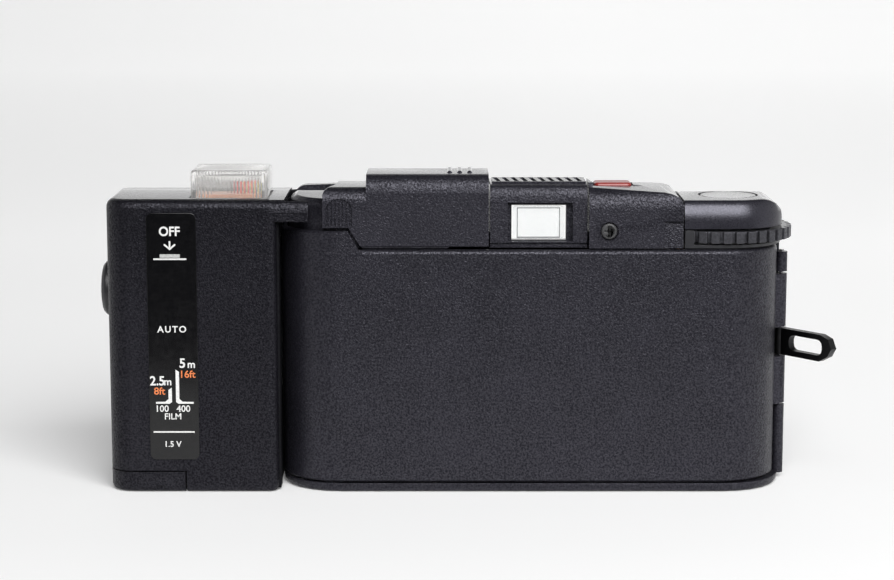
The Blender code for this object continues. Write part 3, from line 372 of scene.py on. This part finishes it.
# Edge rounding in mm; solids not listed take the default.
DEFAULT_EDGE = 0.1
EDGES = by_name([
    (0.12, "wheel_deck rewind_crank"),
    (0.15, "base_plate battery_cover rewind_shaft"),
    (0.2, "viewfinder_housing end_cap_right advance_wheel aperture_lever focus_ring "
          "lens_barrel"),
    (0.22, "flash_case flash_front flash_battery_door"),
    (0.25, "front_shell top_cover_right sliding_cover flash_mount_plate strap_lug "
           "flash_clamp_screw"),
    (0.3, "rear_door top_cover_left shutter_button"),
])


def refine(solid, edge):
    """Cleans a faceted solid and rounds its sharp edges, keeping its stored mesh."""
    weld = solid.modifiers.new("weld", "WELD")
    weld.merge_threshold = 0.00001
    flat = solid.modifiers.new("flat", "DECIMATE")
    flat.decimate_type = "DISSOLVE"
    flat.angle_limit = math.radians(0.6)
    bevel = solid.modifiers.new("edges", "BEVEL")
    bevel.width = edge * MM
    bevel.segments = 3
    bevel.limit_method = "ANGLE"
    bevel.angle_limit = math.radians(32)
    bevel.use_clamp_overlap = True
    bevel.harden_normals = False
    normals = solid.modifiers.new("normals", "WEIGHTED_NORMAL")
    normals.keep_sharp = False
    normals.weight = 80


for solid_name, solid in SOLIDS.items():
    material = MATERIALS[solid_name]
    solid.data.materials.clear()
    solid.data.materials.append(material)
    if material in (GLASS, ACRYLIC):
        solid.data.set_sharp_from_angle(angle=math.radians(25))
        continue
    for polygon in solid.data.polygons:
        polygon.use_smooth = True
    refine(solid, EDGES.get(solid_name, DEFAULT_EDGE))


# ============================================================ helpers for new pieces
def add_object(name, data):
    ob = bpy.data.objects.new(name, data)
    bpy.context.scene.collection.objects.link(ob)
    return ob


def piece(name, bm, material, body, sharp=35):
    """Turns a mesh in mm into an object of the body; edges over sharp degrees stay crisp."""
    bmesh.ops.recalc_face_normals(bm, faces=bm.faces)
    for vert in bm.verts:
        vert.co *= MM
    mesh = bpy.data.meshes.new(name)
    bm.to_mesh(mesh)
    bm.free()
    ob = add_object(name, mesh)
    mesh.materials.append(material)
    mesh.shade_smooth()
    mesh.set_sharp_from_angle(angle=math.radians(sharp))
    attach(ob, body)
    return ob


def prism(outline, y0, y1):
    """Solid between y0 and y1 from an outline in x, z."""
    bm = bmesh.new()
    near = [bm.verts.new((x, y0, z)) for x, z in outline]
    far = [bm.verts.new((x, y1, z)) for x, z in outline]
    bm.faces.new(near)
    bm.faces.new(far[::-1])
    for i in range(len(outline)):
        j = (i + 1) % len(outline)
        bm.faces.new((near[i], far[i], far[j], near[j]))
    return bm


def block(bm, x0, x1, y0, y1, z0, z1):
    corners = ((x0, y0), (x1, y0), (x1, y1), (x0, y1))
    verts = [bm.verts.new((x, y, z)) for z in (z0, z1) for x, y in corners]
    for face in ((3, 2, 1, 0), (4, 5, 6, 7), (0, 1, 5, 4), (1, 2, 6, 5), (2, 3, 7, 6),
                 (3, 0, 4, 7)):
        bm.faces.new([verts[i] for i in face])


# ============================================================ label printing
PRINT_Y = -15.0      # outer face of the printing
PRINT_DEPTH = 0.03
PRINT_SHARP = 20     # degrees
LABEL_X = -72.45     # centre line of the label


def middle_and_span(values):
    return (max(values) + min(values)) / 2, max(values) - min(values)


def lettering(name, words, at, height, bold, material=WHITE_INK, spacing=1.0, stretch=1.0):
    """Printed words centred at (x, z); stretch scales their width."""
    curve = bpy.data.curves.new(name, "FONT")
    curve.body = words
    curve.size = 1.0
    curve.align_x = "CENTER"
    curve.align_y = "CENTER"
    curve.space_character = spacing
    curve.offset = bold
    curve.resolution_u = 4
    source = add_object(name + "_src", curve)
    depsgraph = bpy.context.evaluated_depsgraph_get()
    mesh = bpy.data.meshes.new_from_object(source.evaluated_get(depsgraph))
    bpy.data.objects.remove(source)
    middle_x, _ = middle_and_span([vert.co.x for vert in mesh.vertices])
    middle_y, span_y = middle_and_span([vert.co.y for vert in mesh.vertices])
    scale = height / span_y
    bm = bmesh.new()
    bm.from_mesh(mesh)
    bpy.data.meshes.remove(mesh)
    for vert in bm.verts:
        vert.co = Vector((at[0] + (vert.co.x - middle_x) * scale * stretch, PRINT_Y,
                          at[1] + (vert.co.y - middle_y) * scale))
    extruded = bmesh.ops.extrude_face_region(bm, geom=bm.faces[:])
    for element in extruded["geom"]:
        if isinstance(element, bmesh.types.BMVert):
            element.co.y += PRINT_DEPTH
    bmesh.ops.remove_doubles(bm, verts=bm.verts, dist=1e-5)
    piece(name, bm, material, "flash", PRINT_SHARP)


def printed_shape(name, outline, material=WHITE_INK):
    bm = prism(outline, PRINT_Y, PRINT_Y + PRINT_DEPTH)
    piece(name, bm, material, "flash", PRINT_SHARP)


def rectangle(x, half_width, z0, z1):
    left, right = x - half_width, x + half_width
    return [(left, z0), (right, z0), (right, z1), (left, z1)]


def range_bar(name, x, top, side, reach):
    """Upright bar whose foot curves out to the given side (+1 or -1) into a base line."""
    half_width = 0.34
    foot = 18.65
    # Distance from the bar's axis towards the side, and z.
    outline = [
        (-half_width, top), (-half_width, foot + 0.1), (-half_width + 0.5, foot - 0.25),
        (reach, foot - 0.25), (reach, foot + 0.12), (1.0, foot + 0.16),
        (half_width, foot + 0.7), (half_width, top - 0.5),
    ]
    printed_shape(name, [(x + side * out, z) for out, z in outline])


# Letter heights
FIGURE = 1.95
METRE = 1.05
FEET = 1.5
SPEED = 1.35

# Half width and height of the arrow, from the shoulders of its head
ARROW_HEAD = [(0.0, 49.55), (1.22, 50.6), (1.0, 50.85), (0.0, 50.02), (-1.0, 50.85),
              (-1.22, 50.6)]  # x from the centre line, z

lettering("print_off", "OFF", (LABEL_X, 53.35), FIGURE, bold=0.025, stretch=0.92)
printed_shape("print_arrow_stem", rectangle(LABEL_X, 0.17, 51.4, 50.0))
printed_shape("print_arrow_head", [(LABEL_X + x, z) for x, z in ARROW_HEAD])
printed_shape("print_button_top", rectangle(LABEL_X, 2.0, 48.05, 48.75), GREY_INK)
printed_shape("print_button_bar", rectangle(LABEL_X, 3.3, 47.6, 47.93))
lettering("print_auto", "AUTO", (LABEL_X + 0.1, 33.6), 1.35, bold=0.02, spacing=1.25)
lettering("print_5", "5", (-70.35, 26.7), FIGURE, bold=0.02)
lettering("print_m_a", "m", (-68.55, 26.25), METRE, bold=0.02)
lettering("print_16ft", "16ft", (-69.2, 24.45), FEET, bold=0.012, material=ORANGE_INK)
lettering("print_2_5", "2.5", (-75.45, 23.1), FIGURE, bold=0.02, stretch=0.95)
lettering("print_m_b", "m", (-73.35, 22.7), METRE, bold=0.02)
lettering("print_8ft", "8ft", (-75.0, 21.0), FEET, bold=0.012, material=ORANGE_INK)
range_bar("print_bar_long", x=-71.4, top=25.4, side=1, reach=3.2)
range_bar("print_bar_short", x=-72.9, top=21.7, side=-1, reach=2.9)
lettering("print_100", "100", (-74.45, 17.4), SPEED, bold=0.012)
lettering("print_400", "400", (-70.3, 17.4), SPEED, bold=0.012)
lettering("print_film", "FILM", (-72.4, 15.8), 1.25, bold=0.012)
printed_shape("print_rule", rectangle(-72.25, 4.15, 12.45, 12.75))
lettering("print_volts", "1.5 V", (-72.4, 10.1), 1.2, bold=0.015)


# ============================================================ finder view, painted as glow
def finder_painted_view():
    """Panel whose glow is painted light standing in for the bright view through the finder,
    with a rectangle of frame lines before it that also glow with painted light.
    """
    # Painted light: the panel glows in place of the lit view through the finder.
    view = glowing("finder_painted_view", base=(0.2, 0.2, 0.2), low=(0.93, 0.93, 0.92),
                   high=(1.0, 1.0, 0.99), strength=0.92, scale=60.0, detail=1.0)
    # Painted light: the frame lines glow faintly; they are no lamp.
    line = glowing("finder_line_painted_glow", base=(0.05, 0.05, 0.05), low=(0.20, 0.20, 0.21),
                   high=(0.25, 0.25, 0.26), strength=0.9, scale=900.0, detail=2.0)
    bm = bmesh.new()
    block(bm, -4.38, 6.43, -9.6, -9.3, 51.17, 58.18)
    piece("finder_painted_bright_view", bm, view, "camera_body")

    x0, x1, z0, z1 = -3.3, 5.35, 51.45, 57.52
    width = 0.17
    bm = bmesh.new()
    for left, right, bottom, top in ((x0, x1, z1 - width, z1), (x0, x1, z0, z0 + width),
                                     (x0, x0 + width, z0, z1), (x1 - width, x1, z0, z1)):
        block(bm, left, right, -9.75, -9.62, bottom, top)
    piece("finder_frame_lines", bm, line, "camera_body")


finder_painted_view()


# ============================================================ ribbed lamp block
LAMP_X = (-68.6, -53.2)
LAMP_Y = (-10.5, 3.0)
LAMP_RADIUS = 0.8    # upright corners
FLUTE_PITCH = 0.63
FLUTE_DEPTH = 0.16
FLUTE_STEPS = 8

# Stations up the outside: z, inset from the outline, greatest x (the foot is cut back at +X).
LAMP_OUTSIDE = [
    (53.0, 0, -54.1), (57.6, 0, -54.1), (57.65, 0, math.inf),
    (64.45, 0, math.inf), (64.78, 0.12, math.inf), (65.0, 0.5, math.inf),
]
# The hollow: its least x, its y range, and stations of z and greatest x from the foot up.
HOLLOW_LEFT = -67.4
HOLLOW_Y = (-9.3, 1.8)
LAMP_HOLLOW = [(53.0, -55.3), (58.0, -55.3), (58.1, -54.4), (63.7, -54.4)]


def fluted_outline():
    """Rounded rectangle whose sides along X carry upright flutes cut inwards."""
    (x0, x1), (y0, y1), r = LAMP_X, LAMP_Y, LAMP_RADIUS
    count = int((x1 - x0 - 2 * r) / FLUTE_PITCH)
    start = (x0 + x1) / 2 - count * FLUTE_PITCH / 2
    row = [start + FLUTE_PITCH * (i / FLUTE_STEPS) for i in range(count * FLUTE_STEPS + 1)]
    row = [x0 + r] + row + [x1 - r]

    def dip(x):
        turns = (x - start) / FLUTE_PITCH
        if turns < 0 or turns > count:
            return 0.0
        phase = turns - math.floor(turns)
        return FLUTE_DEPTH * (1 - abs(math.sin(math.pi * phase)))

    def arc(x, y, first_angle):
        """Inner points of a quarter circle in five steps."""
        angles = [first_angle + math.pi / 2 * i / 5 for i in range(1, 5)]
        return [(x + r * math.cos(angle), y + r * math.sin(angle)) for angle in angles]

    return (
        [(x, y0 + dip(x)) for x in row]
        + arc(x1 - r, y0 + r, -math.pi / 2) + [(x1, y0 + r), (x1, y1 - r)]
        + arc(x1 - r, y1 - r, 0)
        + [(x, y1 - dip(x)) for x in row[::-1]]
        + arc(x0 + r, y1 - r, math.pi / 2) + [(x0, y1 - r), (x0, y0 + r)]
        + arc(x0 + r, y0 + r, math.pi)
    )


def lamp_block():
    outline = fluted_outline()
    centre_x, centre_y = sum(LAMP_X) / 2, sum(LAMP_Y) / 2
    bm = bmesh.new()

    def outer_ring(z, inset, limit):
        scale_x = 1 - inset / (LAMP_X[1] - centre_x)
        scale_y = 1 - inset / (LAMP_Y[1] - centre_y)
        return [bm.verts.new((min(centre_x + (x - centre_x) * scale_x, limit),
                              centre_y + (y - centre_y) * scale_y, z)) for x, y in outline]

    def inner_ring(z, right):
        """The outline's points pressed into the hollow's rectangle."""
        return [bm.verts.new((min(max(x, HOLLOW_LEFT), right),
                              min(max(y, HOLLOW_Y[0]), HOLLOW_Y[1]), z)) for x, y in outline]

    def skin(rings):
        for lower, upper in rings:
            for i in range(len(outline)):
                j = (i + 1) % len(outline)
                bm.faces.new((lower[i], lower[j], upper[j], upper[i]))

    foot = inner_ring(*LAMP_HOLLOW[0])
    outside = [foot] + [outer_ring(*station) for station in LAMP_OUTSIDE]
    skin(zip(outside, outside[1:]))
    bm.faces.new(outside[-1])
    roof, shoulder, ledge = [inner_ring(*station) for station in LAMP_HOLLOW[:0:-1]]
    skin(((ledge, foot), (shoulder, ledge), (roof, shoulder)))
    bm.faces.new(roof[::-1])
    bmesh.ops.remove_doubles(bm, verts=bm.verts, dist=1e-4)
    bmesh.ops.dissolve_degenerate(bm, edges=bm.edges, dist=1e-4)
    ob = piece("lamp_block", bm, lamp_acrylic_painted_glow(), "flash_button", sharp=25)
    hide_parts("flash_button")


lamp_block()


# ============================================================ dark filler on the flash's +X side, painted shade
GAP_SHADE_FILLER = [(-51.25, 50.0), (-48.75, 50.0), (-48.75, 58.45), (-50.2, 58.35),
                (-50.7, 57.9), (-50.95, 57.2), (-51.25, 57.0)]  # x, z
# Painted shade: a dark piece that closes the gap between flash and body so the gap reads as
# shadow.
piece("flash_gap_shade_filler", prism(GAP_SHADE_FILLER, 10.5, 13.7), INNER_AND_SHADE_BLACK, "flash",
      sharp=30)


# ============================================================ stage, light, camera (metres)
def backdrop():
    """Floor that curves up into a wall on the +Y side."""
    half_width = 4.0
    near_y, bend_y, wall_top = -0.125, 1.3, 1.15
    radius, steps = 0.7, 16
    profile = [(near_y, 0.0), (bend_y, 0.0)]
    for i in range(1, steps + 1):
        angle = math.pi / 2 * i / steps
        profile.append((bend_y + radius * math.sin(angle), radius - radius * math.cos(angle)))
    profile.append((bend_y + radius, wall_top))
    bm = bmesh.new()
    rows = [[bm.verts.new((x, y, z)) for x in (-half_width, half_width)] for y, z in profile]
    for lower, upper in zip(rows, rows[1:]):
        bm.faces.new((lower[0], lower[1], upper[1], upper[0]))
    mesh = bpy.data.meshes.new("backdrop")
    bm.to_mesh(mesh)
    bm.free()
    mesh.shade_smooth()
    ob = add_object("backdrop", mesh)
    mesh.materials.append(backdrop_white())


def side_lit_world():
    """White surroundings, dim but for brighter regions towards -X and +X."""
    world = bpy.context.scene.world or bpy.data.worlds.new("world")
    bpy.context.scene.world = world
    world.use_nodes = True
    graph = Graph(world.node_tree)
    across = graph.math("ABSOLUTE", graph.split(graph.coords("Generated"))["X"])
    background = world.node_tree.nodes["Background"]
    graph.feed(background.inputs["Strength"],
               graph.remap(across, source=(0.55, 0.95), target=(0.03, 0.7)))
    graph.feed(background.inputs["Color"], (1.0, 1.0, 1.0, 1.0))


def area_light(name, location, target, size, energy):
    light = bpy.data.lights.new(name, "AREA")
    light.shape = "RECTANGLE"
    light.size, light.size_y = size
    light.energy = energy
    ob = add_object(name, light)
    ob.location = location
    direction = Vector(target) - Vector(location)
    ob.rotation_euler = direction.to_track_quat("-Z", "Y").to_euler()


def view_camera():
    camera = bpy.data.cameras.new("view")
    camera.lens = 92.4
    camera.sensor_width = 36.0
    camera.clip_start = 0.01
    ob = add_object("view", camera)
    ob.location = (-0.0173, -0.4666, 0.1147)
    ob.rotation_euler = (math.radians(80.8), 0.0, 0.0)
    bpy.context.scene.camera = ob


backdrop()
side_lit_world()
area_light("front_softbox", location=(0.24, -0.88, 0.78), target=(0.02, 0, 0.03),
           size=(1.0, 0.85), energy=23.5)
area_light("back_wash", location=(0.0, 0.7, 1.0), target=(0, 1.9, 0.35),
           size=(2.2, 0.6), energy=2.0)
view_camera()
bpy.context.scene.view_settings.view_transform = "Standard"
